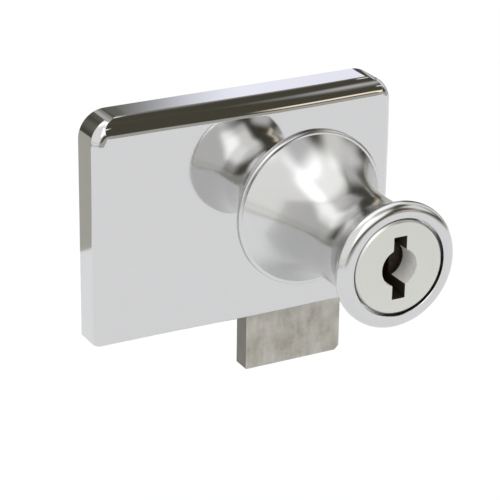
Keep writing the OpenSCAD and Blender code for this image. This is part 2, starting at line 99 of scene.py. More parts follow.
def placeCamera(v):
    data = bpy.data.cameras.new("photoCamera")
    data.sensor_width, data.lens = v["sensor"], v["lens"]
    data.clip_start, data.clip_end = v["clip"]
    back = direction(v["azimuth"], v["elevation"])
    level = Vector((-back.y, back.x, 0)).normalized()
    upright = back.cross(level)
    turn = math.radians(v["roll"])
    right = level * math.cos(turn) + upright * math.sin(turn)
    up = upright * math.cos(turn) - level * math.sin(turn)
    spot = Vector(v["target"]) * mm + back * v["distance"] * mm
    camera = bpy.data.objects.new("photoCamera", data)
    camera.matrix_world = Matrix.Translation(spot) @ Matrix((right, up, back)).transposed().to_4x4()
    scene.collection.objects.link(camera)
    scene.camera = camera


placeCamera(cameraView)
scene.view_settings.view_transform = "Standard"
print("camera placed")


# room: dim around, lighter overhead and on the ground past the floor sheet, with soft boxes given by where they
# stand as seen from the lock, in degrees; heights are the sines of the elevations where each light begins or ends
roomLight = {
    "below": (0.52, 0.52, 0.47), "around": (0.09, 0.083, 0.06), "overhead": (0.72, 0.72, 0.72),
    "backdrop": (1.0, 1.0, 1.0),
    "heights": {"below": -0.04, "around": (0.0, 0.9), "overhead": 0.96},
    "boxes": [
        {"azimuth": -84, "elevation": 36, "width": 114, "height": 80, "edge": 22, "strength": 1.00, "tint": "ffffff"},
        {"azimuth": -12, "elevation": 40, "width": 50, "height": 50, "edge": 12, "strength": 1.10, "tint": "ffffff"},
        {"azimuth": -10, "elevation": 40, "width": 42, "height": 24, "edge": 8, "strength": 0.35, "tint": "ffffff"},
        {"azimuth": 175, "elevation": 60, "width": 64, "height": 44, "edge": 20, "strength": 1.25, "tint": "ffffff"},
        {"azimuth": 106, "elevation": 27, "width": 36, "height": 54, "edge": 14, "strength": 0.85, "tint": "ffffff"},
        {"azimuth": 62, "elevation": 28, "width": 32, "height": 34, "edge": 14, "strength": 0.95, "tint": "ffffff"},
        {"azimuth": 149, "elevation": 21, "width": 9, "height": 14, "edge": 4, "strength": 1.25, "tint": "eef0ff"},
        {"azimuth": 158, "elevation": 20, "width": 12, "height": 16, "edge": 6, "strength": 0.10, "tint": "e6f0ea"},
        {"azimuth": 35, "elevation": 5, "width": 16, "height": 5, "edge": 4, "strength": 1.50, "tint": "fff0d8"},
    ],
}


def makeRoom(r):
    world = bpy.data.worlds.new("studioRoom")
    world.use_nodes = True
    scene.world = world
    tree = world.node_tree
    look = addNode(tree, "ShaderNodeTexCoord").outputs["Generated"]
    height = addNode(tree, "ShaderNodeSeparateXYZ", inputs={0: look}).outputs["Z"]
    share = addNode(tree, "ShaderNodeMath", {"operation": "MULTIPLY_ADD"}, {0: height, 1: 0.5, 2: 0.5})
    ramp = addNode(tree, "ShaderNodeValToRGB", inputs={0: share.outputs[0]})
    stops, heights = ramp.color_ramp.elements, r["heights"]
    stops[0].position, stops[0].color = (heights["below"] + 1) / 2, r["below"] + (1,)
    stops[1].position, stops[1].color = (heights["overhead"] + 1) / 2, r["overhead"] + (1,)
    for level in heights["around"]:
        stops.new((level + 1) / 2).color = r["around"] + (1,)
    total = ramp.outputs["Color"]
    for box in r["boxes"]:
        toward = direction(box["azimuth"], box["elevation"])
        side = Vector((-toward.y, toward.x, 0)).normalized()
        masks = []
        facing = addNode(tree, "ShaderNodeVectorMath", {"operation": "DOT_PRODUCT"}, {0: look, 1: toward})
        for axis, span in ((side, box["width"]), (toward.cross(side), box["height"])):
            across = addNode(tree, "ShaderNodeVectorMath", {"operation": "DOT_PRODUCT"}, {0: look, 1: axis})
            angle = addNode(tree, "ShaderNodeMath", {"operation": "ARCTAN2"},
                            {0: across.outputs["Value"], 1: facing.outputs["Value"]})
            size = addNode(tree, "ShaderNodeMath", {"operation": "ABSOLUTE"}, {0: angle.outputs[0]})
            masks.append(addNode(tree, "ShaderNodeMapRange", {"interpolation_type": "SMOOTHSTEP"},
                                 {"Value": size.outputs[0],
                                  "From Min": math.radians((span + box["edge"]) / 2),
                                  "From Max": math.radians((span - box["edge"]) / 2)}).outputs[0])
        both = addNode(tree, "ShaderNodeMath", {"operation": "MULTIPLY"}, {0: masks[0], 1: masks[1]})
        tint = Vector(toLinear(box["tint"])[:3]) * box["strength"]
        total = addNode(tree, "ShaderNodeVectorMath", {"operation": "MULTIPLY_ADD"},
                        {0: both.outputs[0], 1: tint, 2: total}).outputs[0]
    # looked at straight, the room is a white backdrop
    seen = addNode(tree, "ShaderNodeLightPath").outputs["Is Camera Ray"]
    total = addNode(tree, "ShaderNodeMix", {"data_type": "RGBA"},
                    {0: seen, 6: total, 7: r["backdrop"] + (1,)}).outputs[2]
    tree.links.new(total, tree.nodes["Background"].inputs["Color"])


makeRoom(roomLight)
print("room lit")


# floor: one plain white sheet that glows softly, in mm
floorSheet = {"level": -100, "x": (-600, 900), "y": (-480, 207), "tint": "f4f5f8", "glow": 0.10}


def makeFloor(f):
    bm = bmesh.new()
    (left, right), (front, back) = f["x"], f["y"]
    corners = [(left, front), (right, front), (right, back), (left, back)]
    bm.faces.new([bm.verts.new((x * mm, y * mm, f["level"] * mm)) for x, y in corners])
    mesh = bpy.data.meshes.new("floorSheet")
    bm.to_mesh(mesh)
    bm.free()
    material = bpy.data.materials.new("glowingSheet")
    material.use_nodes = True
    tree = material.node_tree
    setInputs(tree, tree.nodes["Principled BSDF"], {
        "Base Color": toLinear(f["tint"]), "Emission Color": toLinear(f["tint"]), "Emission Strength": f["glow"],
        "Roughness": 0.9, "Specular IOR Level": 0.0})
    mesh.materials.append(material)
    floor = bpy.data.objects.new("floorSheet", mesh)
    scene.collection.objects.link(floor)


makeFloor(floorSheet)
print("floor laid")


# finishes: pattern scales come from sizes in mm, read on Object coordinates
def perMm(size):
    return 1 / (size * mm)


def startFinish(name, values):
    material = bpy.data.materials.new(name)
    material.use_nodes = True
    tree = material.node_tree
    shader = tree.nodes["Principled BSDF"]
    setInputs(tree, shader, values)
    place = addNode(tree, "ShaderNodeTexCoord").outputs["Object"]
    return material, tree, shader, place


def makeChrome(name, least, most):
    # chrome plate on buffed zinc: a mirror, with a faint swell from the buffing wheel and a thin wiped haze
    material, tree, shader, place = startFinish(name, {"Metallic": 1.0})
    swell = addNode(tree, "ShaderNodeTexNoise", inputs={"Vector": place, "Scale": perMm(12), "Detail": 1.0})
    haze = addNode(tree, "ShaderNodeTexNoise", inputs={"Vector": place, "Scale": perMm(5), "Detail": 3.0})
    tint = addNode(tree, "ShaderNodeMix", {"data_type": "RGBA"},
                   {0: haze, 6: toLinear("cacaca"), 7: toLinear("cecece")})
    gloss = addNode(tree, "ShaderNodeMapRange", inputs={"Value": haze, "To Min": least, "To Max": most})
    relief = addNode(tree, "ShaderNodeBump", inputs={"Height": swell, "Distance": 0.008 * mm})
    setInputs(tree, shader, {"Base Color": tint.outputs[2], "Roughness": gloss, "Normal": relief})
    return material


def makeSatinNickel():
    # satin nickel plate on turned brass: an even, soft sheen with a fine blasted grain
    material, tree, shader, place = startFinish("satinNickelPlate", {"Metallic": 1.0})
    patch = addNode(tree, "ShaderNodeTexNoise", inputs={"Vector": place, "Scale": perMm(3), "Detail": 3.0})
    grain = addNode(tree, "ShaderNodeTexNoise", inputs={"Vector": place, "Scale": perMm(0.25), "Detail": 2.0})
    tint = addNode(tree, "ShaderNodeMix", {"data_type": "RGBA"},
                   {0: patch, 6: toLinear("d3d3cd"), 7: toLinear("d9d9d4")})
    gloss = addNode(tree, "ShaderNodeMapRange", inputs={"Value": patch, "To Min": 0.34, "To Max": 0.42})
    relief = addNode(tree, "ShaderNodeBump", inputs={"Height": grain, "Distance": 0.0012 * mm})
    setInputs(tree, shader, {"Base Color": tint.outputs[2], "Roughness": gloss, "Normal": relief})
    return material


def makeKeywayPaintedShade():
    # unplated brass inside the keyway, dull and streaked along the key's way; its dark brown is painted shade, as falls
    # deep in the recess and slot
    material, tree, shader, place = startFinish("keywayPaintedShade", {"Metallic": 0.6})
    along = addNode(tree, "ShaderNodeMapping", inputs={"Vector": place, "Scale": (1.0, 0.2, 1.0)})
    streak = addNode(tree, "ShaderNodeTexNoise", inputs={"Vector": along, "Scale": perMm(0.5), "Detail": 3.0})
    tint = addNode(tree, "ShaderNodeMix", {"data_type": "RGBA"},
                   {0: streak, 6: toLinear("1d1814"), 7: toLinear("574a3f")})
    gloss = addNode(tree, "ShaderNodeMapRange", inputs={"Value": streak, "To Min": 0.5, "To Max": 0.7})
    relief = addNode(tree, "ShaderNodeBump", inputs={"Height": streak, "Distance": 0.01 * mm})
    setInputs(tree, shader, {"Base Color": tint.outputs[2], "Roughness": gloss, "Normal": relief})
    return material


def makeRecessPaintedLight():
    # blasted nickel at the mouth of the plug's round recess, matt and worn in small patches by keys; its near white is
    # painted light, standing in for the bright reflection there
    material, tree, shader, place = startFinish("blastedNickelPaintedLight", {"Metallic": 0.15})
    wear = addNode(tree, "ShaderNodeTexNoise", inputs={"Vector": place, "Scale": perMm(0.8), "Detail": 3.0})
    tint = addNode(tree, "ShaderNodeMix", {"data_type": "RGBA"},
                   {0: wear, 6: toLinear("e4e2de"), 7: toLinear("fafaf8")})
    gloss = addNode(tree, "ShaderNodeMapRange", inputs={"Value": wear, "To Min": 0.4, "To Max": 0.6})
    relief = addNode(tree, "ShaderNodeBump", inputs={"Height": wear, "Distance": 0.01 * mm})
    setInputs(tree, shader, {"Base Color": tint.outputs[2], "Roughness": gloss, "Normal": relief})
    return material


def makeBoltMetal():
    # dull nickel plate on sintered steel: grey, mottled in small soft blotches, with faint upright draw marks
    material, tree, shader, place = startFinish("dullNickelOnSteel", {"Metallic": 1.0})
    upright = addNode(tree, "ShaderNodeMapping", inputs={"Vector": place, "Scale": (1.0, 1.0, 0.25)})
    mottle = addNode(tree, "ShaderNodeTexNoise",
                     inputs={"Vector": place, "Scale": perMm(3.2), "Detail": 5.0, "Roughness": 0.6})
    draw = addNode(tree, "ShaderNodeTexNoise", inputs={"Vector": upright, "Scale": perMm(0.9), "Detail": 3.0})
    grit = addNode(tree, "ShaderNodeTexNoise", inputs={"Vector": place, "Scale": perMm(0.3), "Detail": 2.0})
    both = addNode(tree, "ShaderNodeMath", {"operation": "MULTIPLY_ADD"}, {0: draw, 1: 0.4, 2: mottle})
    share = addNode(tree, "ShaderNodeMapRange", inputs={"Value": both, "From Min": 0.5, "From Max": 0.92})
    tint = addNode(tree, "ShaderNodeMix", {"data_type": "RGBA"},
                   {0: share, 6: toLinear("a19d94"), 7: toLinear("c9c6bf")})
    gloss = addNode(tree, "ShaderNodeMapRange", inputs={"Value": share, "To Min": 0.44, "To Max": 0.56})
    relief = addNode(tree, "ShaderNodeBump", inputs={"Height": grit, "Distance": 0.004 * mm})
    setInputs(tree, shader, {"Base Color": tint.outputs[2], "Roughness": gloss, "Normal": relief})
    return material


def makeShearedEdge():
    # the bolt's sheared sides: rougher and darker than its faces, with streaks along the cut
    material, tree, shader, place = startFinish("shearedSteelEdge", {"Metallic": 1.0})
    along = addNode(tree, "ShaderNodeMapping", inputs={"Vector": place, "Scale": (1.0, 1.0, 0.2)})
    streak = addNode(tree, "ShaderNodeTexNoise", inputs={"Vector": along, "Scale": perMm(0.6), "Detail": 3.0})
    tint = addNode(tree, "ShaderNodeMix", {"data_type": "RGBA"},
                   {0: streak, 6: toLinear("6c6962"), 7: toLinear("8e8b84")})
    gloss = addNode(tree, "ShaderNodeMapRange", inputs={"Value": streak, "To Min": 0.45, "To Max": 0.6})
    relief = addNode(tree, "ShaderNodeBump", inputs={"Height": streak, "Distance": 0.006 * mm})
    setInputs(tree, shader, {"Base Color": tint.outputs[2], "Roughness": gloss, "Normal": relief})
    return material


def makeZincCasting():
    # bare zinc die casting: matt grey skin with cold flow patches and a fine grit
    material, tree, shader, place = startFinish("zincDieCasting", {"Metallic": 1.0})
    flow = addNode(tree, "ShaderNodeTexNoise", inputs={"Vector": place, "Scale": perMm(5), "Detail": 4.0})
    grit = addNode(tree, "ShaderNodeTexNoise", inputs={"Vector": place, "Scale": perMm(0.3), "Detail": 3.0})
    tint = addNode(tree, "ShaderNodeMix", {"data_type": "RGBA"},
                   {0: flow, 6: toLinear("9b9a95"), 7: toLinear("c0bfba")})
    gloss = addNode(tree, "ShaderNodeMapRange", inputs={"Value": flow, "To Min": 0.38, "To Max": 0.6})
    skin = addNode(tree, "ShaderNodeBump", inputs={"Height": flow, "Distance": 0.02 * mm})
    relief = addNode(tree, "ShaderNodeBump", inputs={"Height": grit, "Distance": 0.008 * mm, "Normal": skin})
    setInputs(tree, shader, {"Base Color": tint.outputs[2], "Roughness": gloss, "Normal": relief})
    return material


def makeZincPlate():
    # bright zinc plate on pressed steel: cool grey with faint warm clouds and lines from the rolled strip
    material, tree, shader, place = startFinish("zincPlatedSteel", {"Metallic": 1.0})
    strip = addNode(tree, "ShaderNodeMapping", inputs={"Vector": place, "Scale": (0.12, 1.0, 1.0)})
    cloud = addNode(tree, "ShaderNodeTexNoise", inputs={"Vector": place, "Scale": perMm(3), "Detail": 3.0})
    rolled = addNode(tree, "ShaderNodeTexNoise", inputs={"Vector": strip, "Scale": perMm(0.3), "Detail": 2.0})
    tint = addNode(tree, "ShaderNodeMix", {"data_type": "RGBA"},
                   {0: cloud, 6: toLinear("aeb2b5"), 7: toLinear("c2bea9")})
    gloss = addNode(tree, "ShaderNodeMapRange", inputs={"Value": rolled, "To Min": 0.22, "To Max": 0.4})
    relief = addNode(tree, "ShaderNodeBump", inputs={"Height": rolled, "Distance": 0.003 * mm})
    setInputs(tree, shader, {"Base Color": tint.outputs[2], "Roughness": gloss, "Normal": relief})
    return material


def makeBlackSteel():
    # blackened steel: near black with an oily sheen, greyer where it is rubbed
    material, tree, shader, place = startFinish("blackenedSteel", {"Metallic": 0.85})
    rub = addNode(tree, "ShaderNodeTexNoise", inputs={"Vector": place, "Scale": perMm(0.9), "Detail": 3.0})
    tint = addNode(tree, "ShaderNodeMix", {"data_type": "RGBA"},
                   {0: rub, 6: toLinear("1e1e21"), 7: toLinear("47464a")})
    gloss = addNode(tree, "ShaderNodeMapRange", inputs={"Value": rub, "To Min": 0.28, "To Max": 0.46})
    relief = addNode(tree, "ShaderNodeBump", inputs={"Height": rub, "Distance": 0.004 * mm})
    setInputs(tree, shader, {"Base Color": tint.outputs[2], "Roughness": gloss, "Normal": relief})
    return material


def makeRubber():
    # moulded black rubber: matt, with a pebbled skin and a little chalky bloom
    material, tree, shader, place = startFinish("mouldedRubber", {"Metallic": 0.0, "Specular IOR Level": 0.3})
    bloom = addNode(tree, "ShaderNodeTexNoise", inputs={"Vector": place, "Scale": perMm(4), "Detail": 4.0})
    pebble = addNode(tree, "ShaderNodeTexNoise", inputs={"Vector": place, "Scale": perMm(0.4), "Detail": 2.0})
    tint = addNode(tree, "ShaderNodeMix", {"data_type": "RGBA"},
                   {0: bloom, 6: toLinear("202121"), 7: toLinear("3b3c3b")})
    gloss = addNode(tree, "ShaderNodeMapRange", inputs={"Value": bloom, "To Min": 0.66, "To Max": 0.84})
    relief = addNode(tree, "ShaderNodeBump", inputs={"Height": pebble, "Distance": 0.025 * mm})
    setInputs(tree, shader, {"Base Color": tint.outputs[2], "Roughness": gloss, "Normal": relief})
    return material


def makeBrass():
    # stamped brass: yellow metal, scratched along the strip and a little tarnished
    material, tree, shader, place = startFinish("stampedBrass", {"Metallic": 1.0})
    strip = addNode(tree, "ShaderNodeMapping", inputs={"Vector": place, "Scale": (1.0, 1.0, 0.1)})
    tarnish = addNode(tree, "ShaderNodeTexNoise", inputs={"Vector": place, "Scale": perMm(1.4), "Detail": 3.0})
    scratch = addNode(tree, "ShaderNodeTexNoise", inputs={"Vector": strip, "Scale": perMm(0.2), "Detail": 2.0})
    tint = addNode(tree, "ShaderNodeMix", {"data_type": "RGBA"},
                   {0: tarnish, 6: toLinear("9c7940"), 7: toLinear("d2b272")})
    gloss = addNode(tree, "ShaderNodeMapRange", inputs={"Value": tarnish, "To Min": 0.22, "To Max": 0.44})
    relief = addNode(tree, "ShaderNodeBump", inputs={"Height": scratch, "Distance": 0.003 * mm})
    setInputs(tree, shader, {"Base Color": tint.outputs[2], "Roughness": gloss, "Normal": relief})
    return material


def makeSpringWire():
    # drawn spring wire: bright steel with fine lines from the die
    material, tree, shader, place = startFinish("drawnSpringWire", {"Metallic": 1.0})
    drawn = addNode(tree, "ShaderNodeTexNoise", inputs={"Vector": place, "Scale": perMm(0.15), "Detail": 2.0})
    tint = addNode(tree, "ShaderNodeMix", {"data_type": "RGBA"},
                   {0: drawn, 6: toLinear("a3a5a8"), 7: toLinear("c3c5c7")})
    gloss = addNode(tree, "ShaderNodeMapRange", inputs={"Value": drawn, "To Min": 0.18, "To Max": 0.34})
    relief = addNode(tree, "ShaderNodeBump", inputs={"Height": drawn, "Distance": 0.001 * mm})
    setInputs(tree, shader, {"Base Color": tint.outputs[2], "Roughness": gloss, "Normal": relief})
    return material


# how rough the chrome is at least and at most: the knob is less finely buffed than the housing
chromeGloss = {"housing": (0.03, 0.06), "knob": (0.13, 0.18)}

finishes = {
    "polished_chrome": makeChrome("chromePlatedZinc", *chromeGloss["housing"]),
    "satin_nickel": makeSatinNickel(), "bolt_metal": makeBoltMetal(), "zinc_casting": makeZincCasting(),
    "zinc_plate": makeZincPlate(), "wafer_brass": makeBrass(), "spring_steel": makeSpringWire(),
    "black_steel": makeBlackSteel(), "pad_rubber": makeRubber(),
}
print("finishes made:", len(finishes))

# every CAD node gets its slot's finish; those replaced below are hidden
slotOf = {row["node"]: row["material_slot"] for row in frame["record"]["subparts"]}
for name, node in frame["nodes"].items():
    node.data.materials.clear()
    node.data.materials.append(finishes[slotOf[name]])


def finishPiece(piece, body, node):
    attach(piece, body)
    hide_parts(node)


# pieces whose solid has the right shape: a merged copy with its sharp edges eased, as casting and plating leave them;
# faces within the flat angle become one, and edges from the bevel angle on are eased
edgeEasing = {"flat": 0.4, "bevel": 40, "segments": 3}
easedPieces = [
    {"piece": "housingShell", "node": "housing", "body": "lock_case", "edge": 0.14},
    {"piece": "lockPlug", "node": "plug", "body": "lock_plug", "edge": 0.06},
    {"piece": "boltPlate", "node": "bolt", "body": "lock_bolt", "edge": 0.22},
    {"piece": "clampFrame", "node": "clamp_frame", "body": "lock_case", "edge": 0.2},
    {"piece": "pressurePlate", "node": "pressure_plate", "body": "clamp_plate", "edge": 0.18},
    {"piece": "frontPad", "node": "front_pad", "body": "lock_case", "edge": 0.22},
    {"piece": "rearPad", "node": "rear_pad", "body": "clamp_plate", "edge": 0.22},
]

# the plug's keyway: blasted and pale with painted light a little way into the round recess, and dark with painted shade
# further in and in the slot, in mm
keyway = {"node": "plug", "slotHalf": (1.2, 4.9), "slotY": -34.2, "recessR": 2.96, "recessY": -30.6,
          "finishes": [makeRecessPaintedLight(), makeKeywayPaintedShade()]}

# the bolt's sides that the shear left: faces that look this far along X
boltSides = {"node": "bolt", "facing": 0.9, "finish": makeShearedEdge()}

# the polished front swells a little: round within its reach of a centre in x and z, set forward of the flat face, and
# easing to flat beyond that reach; faces that bend less than bend degrees from the front move with it
housingCrown = {"radius": 370, "centre": (-6.0, 1.1), "reach": 14, "easing": 4, "forward": 0.2, "cell": 3.0,
                "flatY": -8.4, "stillY": -2.6, "flatGap": 0.001, "bend": 35}

# the roll along the housing's top meets the top wall at a soft edge: the solid's quarter round is turned through
# fewer degrees on a larger radius; slack is how near to that round a point has to lie
housingCrest = {"solidRadius": 3.0, "topZ": 18.8, "frontY": -8.4, "radius": 3.4, "turn": 60,
                "edgeSlack": 0.002, "slack": 0.01}


def markSharp(bm, degrees):
    for face in bm.faces:
        face.smooth = True
    for edge in bm.edges:
        edge.smooth = len(edge.link_faces) == 2 and edge.calc_face_angle() < math.radians(degrees)


def crownFall(off, c):
    inner = min(abs(off), c["reach"])
    outer = abs(off) - inner
    return inner / c["radius"] * (inner / 2 + c["easing"] * (1 - math.exp(-outer / c["easing"])))


def crownFront(bm, c):
    flatY, stillY = c["flatY"] * mm, c["stillY"] * mm
    skin = {f for f in bm.faces if all(abs(v.co.y - flatY) < c["flatGap"] * mm for v in f.verts)}
    rim = list(skin)
    while rim:  # the front and the rounded edges and walls that run on from it
        for edge in rim.pop().edges:
            if len(edge.link_faces) == 2 and edge.calc_face_angle() < math.radians(c["bend"]):
                fresh = [f for f in edge.link_faces if f not in skin]
                skin.update(fresh)
                rim.extend(fresh)
    low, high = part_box("housing")
    faces = list(skin)
    for axis in (0, 2):
        count = int((high[axis] - low[axis]) / (c["cell"] * mm))
        for step in range(1, count):
            spot, facing = [0, 0, 0], [0, 0, 0]
            spot[axis], facing[axis] = low[axis] + (high[axis] - low[axis]) * step / count, 1
            edges = {e for f in faces for e in f.edges}
            verts = {v for f in faces for v in f.verts}
            cut = bmesh.ops.bisect_plane(bm, geom=[*verts, *edges, *faces], dist=weldGap,
                                         plane_co=spot, plane_no=facing)
            faces = [g for g in cut["geom"] if isinstance(g, bmesh.types.BMFace)]
    for vert in {v for f in faces for v in f.verts}:
        fall = crownFall(vert.co.x / mm - c["centre"][0], c) + crownFall(vert.co.z / mm - c["centre"][1], c)
        share = min(1, max(0, (stillY - vert.co.y) / (stillY - flatY)))
        vert.co.y += share * (fall - c["forward"]) * mm


def paintKeywayLightAndShade(bm, k):
    parts = [*bm.verts, *bm.edges, *bm.faces]
    bmesh.ops.bisect_plane(bm, geom=parts, dist=weldGap, plane_co=(0, k["recessY"] * mm, 0), plane_no=(0, 1, 0))
    # pale painted light at the recess mouth (material 1), near black painted shade deeper in the recess and in the slot
    # (material 2)
    for face in bm.faces:
        x, y, z = face.calc_center_median() / mm
        if y > k["slotY"] and math.hypot(x, z) < k["recessR"]:
            face.material_index = 1 if y < k["recessY"] else 2
        elif y > k["slotY"] and abs(x) < k["slotHalf"][0] and abs(z) < k["slotHalf"][1]:
            face.material_index = 2


def turnCrest(bm, c):
    middleY, middleZ = c["frontY"] + c["solidRadius"], c["topZ"] - c["solidRadius"]
    turn = math.radians(c["turn"])
    for vert in bm.verts:
        back, rise = middleY - vert.co.y / mm, vert.co.z / mm - middleZ
        if min(back, rise) > -c["edgeSlack"] and abs(math.hypot(back, rise) - c["solidRadius"]) < c["slack"]:
            angle = math.atan2(rise, back) * turn / (math.pi / 2)
            vert.co.y = (c["frontY"] + c["radius"] * (1 - math.cos(angle))) * mm
            vert.co.z = (c["topZ"] - c["radius"] * (math.sin(turn) - math.sin(angle))) * mm


def easedCopy(p):
    mesh = frame["nodes"][p["node"]].data.copy()
    mesh.name = p["piece"]
    bm = bmesh.new()
    bm.from_mesh(mesh)
    bmesh.ops.remove_doubles(bm, verts=bm.verts, dist=weldGap)
    bmesh.ops.dissolve_limit(bm, angle_limit=math.radians(edgeEasing["flat"]), verts=bm.verts, edges=bm.edges)
    if p["node"] == "housing":
        turnCrest(bm, housingCrest)
        crownFront(bm, housingCrown)
    if p["node"] == keyway["node"]:
        for finish in keyway["finishes"]:
            mesh.materials.append(finish)
        paintKeywayLightAndShade(bm, keyway)
    if p["node"] == boltSides["node"]:
        mesh.materials.append(boltSides["finish"])
        for face in bm.faces:
            face.material_index = int(abs(face.normal.x) > boltSides["facing"])
    markSharp(bm, sharpAngles["eased"])
    bm.to_mesh(mesh)
    bm.free()
    piece = bpy.data.objects.new(p["piece"], mesh)
    scene.collection.objects.link(piece)
    ease = piece.modifiers.new("easedEdges", "BEVEL")
    ease.width, ease.segments, ease.limit_method = p["edge"] * mm, edgeEasing["segments"], "ANGLE"
    ease.angle_limit, ease.harden_normals = math.radians(edgeEasing["bevel"]), True
    even = piece.modifiers.new("evenShading", "WEIGHTED_NORMAL")
    even.keep_sharp = True
    finishPiece(piece, p["body"], p["node"])


for row in easedPieces:
    easedCopy(row)
print("eased pieces made:", len(easedPieces))


# trees of nodes for what is turned or wound
def startTree(name, sizes):
    tree = bpy.data.node_groups.new(name, "GeometryNodeTree")
    tree.interface.new_socket("Geometry", in_out="INPUT", socket_type="NodeSocketGeometry")
    for label, kind in sizes.items():
        tree.interface.new_socket(label, in_out="INPUT", socket_type="NodeSocket" + kind)
    tree.interface.new_socket("Geometry", in_out="OUTPUT", socket_type="NodeSocketGeometry")
    return tree, addNode(tree, "NodeGroupInput").outputs


def endTree(tree, geometry, given):
    real = addNode(tree, "GeometryNodeRealizeInstances", inputs={0: geometry})
    dressed = addNode(tree, "GeometryNodeSetMaterial", inputs={"Geometry": real, "Material": given["Finish"]})
    addNode(tree, "NodeGroupOutput", inputs={0: dressed})


def growPiece(name, tree, seedMesh, sizes):
    seed = bpy.data.objects.new(name + "Seed", seedMesh)
    scene.collection.objects.link(seed)
    grow = seed.modifiers.new("grow", "NODES")
    grow.node_group = tree
    for socket in tree.interface.items_tree:
        if socket.in_out == "INPUT" and socket.name in sizes:
            grow[socket.identifier] = sizes[socket.name]
    seed.update_tag()
    graph = bpy.context.evaluated_depsgraph_get()
    mesh = bpy.data.meshes.new_from_object(seed.evaluated_get(graph))
    mesh.name = name
    bpy.data.objects.remove(seed)
    bm = bmesh.new()
    bm.from_mesh(mesh)
    if bm.calc_volume(signed=True) < 0:
        bmesh.ops.reverse_faces(bm, faces=bm.faces)
    markSharp(bm, sharpAngles["turned"])
    bm.to_mesh(mesh)
    bm.free()
    piece = bpy.data.objects.new(name, mesh)
    scene.collection.objects.link(piece)
    return piece


# a turned piece: each point of a section (radius, place along Y, kind) goes round the axis;
# kind 1 is threaded, -1 is a socket with flats, and 0 is plain
def makeTurnedTree():
    tree, given = startTree("turnedBody", {"Segments": "Int", "Axis Place": "Vector", "Pitch": "Float",
                                           "Thread Depth": "Float", "Corners": "Int", "Finish": "Material"})
    count = addNode(tree, "GeometryNodeAttributeDomainSize", {"component": "MESH"}, {0: given["Geometry"]})
    rows = addNode(tree, "ShaderNodeMath", {"operation": "ADD"}, {0: given["Segments"], 1: 1.0})
    grid = addNode(tree, "GeometryNodeMeshGrid", inputs={"Size X": 1.0, "Size Y": 1.0, "Vertices X": count,
                                                         "Vertices Y": rows})
    spot = addNode(tree, "GeometryNodeInputPosition")
    cell = addNode(tree, "ShaderNodeVectorMath", {"operation": "ADD"}, {0: spot, 1: (0.5, 0.5, 0.0)})
    share = addNode(tree, "ShaderNodeSeparateXYZ", inputs={0: cell}).outputs
    last = addNode(tree, "ShaderNodeMath", {"operation": "SUBTRACT"}, {0: count, 1: 1.0})
    exact = addNode(tree, "ShaderNodeMath", {"operation": "MULTIPLY"}, {0: share["X"], 1: last})
    index = addNode(tree, "ShaderNodeMath", {"operation": "ROUND"}, {0: exact})
    taken = addNode(tree, "GeometryNodeSampleIndex", {"data_type": "FLOAT_VECTOR", "domain": "POINT"},
                    {"Geometry": given["Geometry"], "Value": spot, "Index": index})
    section = addNode(tree, "ShaderNodeSeparateXYZ", inputs={0: taken}).outputs
    angle = addNode(tree, "ShaderNodeMath", {"operation": "MULTIPLY"}, {0: share["Y"], 1: math.tau})

    # thread: a ridge that climbs one pitch in each turn, right-handed along +Y
    turns = addNode(tree, "ShaderNodeMath", {"operation": "DIVIDE"}, {0: section["Y"], 1: given["Pitch"]})
    phase = addNode(tree, "ShaderNodeMath", {"operation": "SUBTRACT"}, {0: turns, 1: share["Y"]})
    wave = addNode(tree, "ShaderNodeMath", {"operation": "PINGPONG"}, {0: phase, 1: 0.5})
    depth = addNode(tree, "ShaderNodeMath", {"operation": "MULTIPLY"}, {0: wave, 1: given["Thread Depth"]})
    threaded = addNode(tree, "ShaderNodeMath", {"operation": "MAXIMUM"}, {0: section["Z"], 1: 0.0})
    groove = addNode(tree, "ShaderNodeMath", {"operation": "MULTIPLY"}, {0: depth, 1: threaded})

    # socket: flats between as many corners
    sector = addNode(tree, "ShaderNodeMath", {"operation": "DIVIDE"}, {0: math.tau, 1: given["Corners"]})
    half = addNode(tree, "ShaderNodeMath", {"operation": "MULTIPLY"}, {0: sector, 1: 0.5})
    local = addNode(tree, "ShaderNodeMath", {"operation": "FLOORED_MODULO"}, {0: angle, 1: sector})
    fromFlat = addNode(tree, "ShaderNodeMath", {"operation": "SUBTRACT"}, {0: local, 1: half})
    cornerCos = addNode(tree, "ShaderNodeMath", {"operation": "COSINE"}, {0: half})
    flatCos = addNode(tree, "ShaderNodeMath", {"operation": "COSINE"}, {0: fromFlat})
    flatness = addNode(tree, "ShaderNodeMath", {"operation": "DIVIDE"}, {0: cornerCos, 1: flatCos})
    less = addNode(tree, "ShaderNodeMath", {"operation": "SUBTRACT"}, {0: 1.0, 1: flatness})
    socket = addNode(tree, "ShaderNodeMath", {"operation": "MINIMUM"}, {0: section["Z"], 1: 0.0})
    scaled = addNode(tree, "ShaderNodeMath", {"operation": "MULTIPLY_ADD"}, {0: less, 1: socket, 2: 1.0})
    whole = addNode(tree, "ShaderNodeMath", {"operation": "MULTIPLY"}, {0: section["X"], 1: scaled})
    radius = addNode(tree, "ShaderNodeMath", {"operation": "SUBTRACT"}, {0: whole, 1: groove})

    sine = addNode(tree, "ShaderNodeMath", {"operation": "SINE"}, {0: angle})
    cosine = addNode(tree, "ShaderNodeMath", {"operation": "COSINE"}, {0: angle})
    acrossX = addNode(tree, "ShaderNodeMath", {"operation": "MULTIPLY"}, {0: radius, 1: sine})
    acrossZ = addNode(tree, "ShaderNodeMath", {"operation": "MULTIPLY"}, {0: radius, 1: cosine})
    point = addNode(tree, "ShaderNodeCombineXYZ", inputs={0: acrossX, 1: section["Y"], 2: acrossZ})
    placed = addNode(tree, "ShaderNodeVectorMath", {"operation": "ADD"}, {0: point, 1: given["Axis Place"]})
    turned = addNode(tree, "GeometryNodeSetPosition", inputs={"Geometry": grid, "Position": placed})
    closed = addNode(tree, "GeometryNodeMergeByDistance", inputs={"Geometry": turned, "Distance": 0.0002 * mm})
    endTree(tree, closed, given)
    return tree


turnedTree = makeTurnedTree()


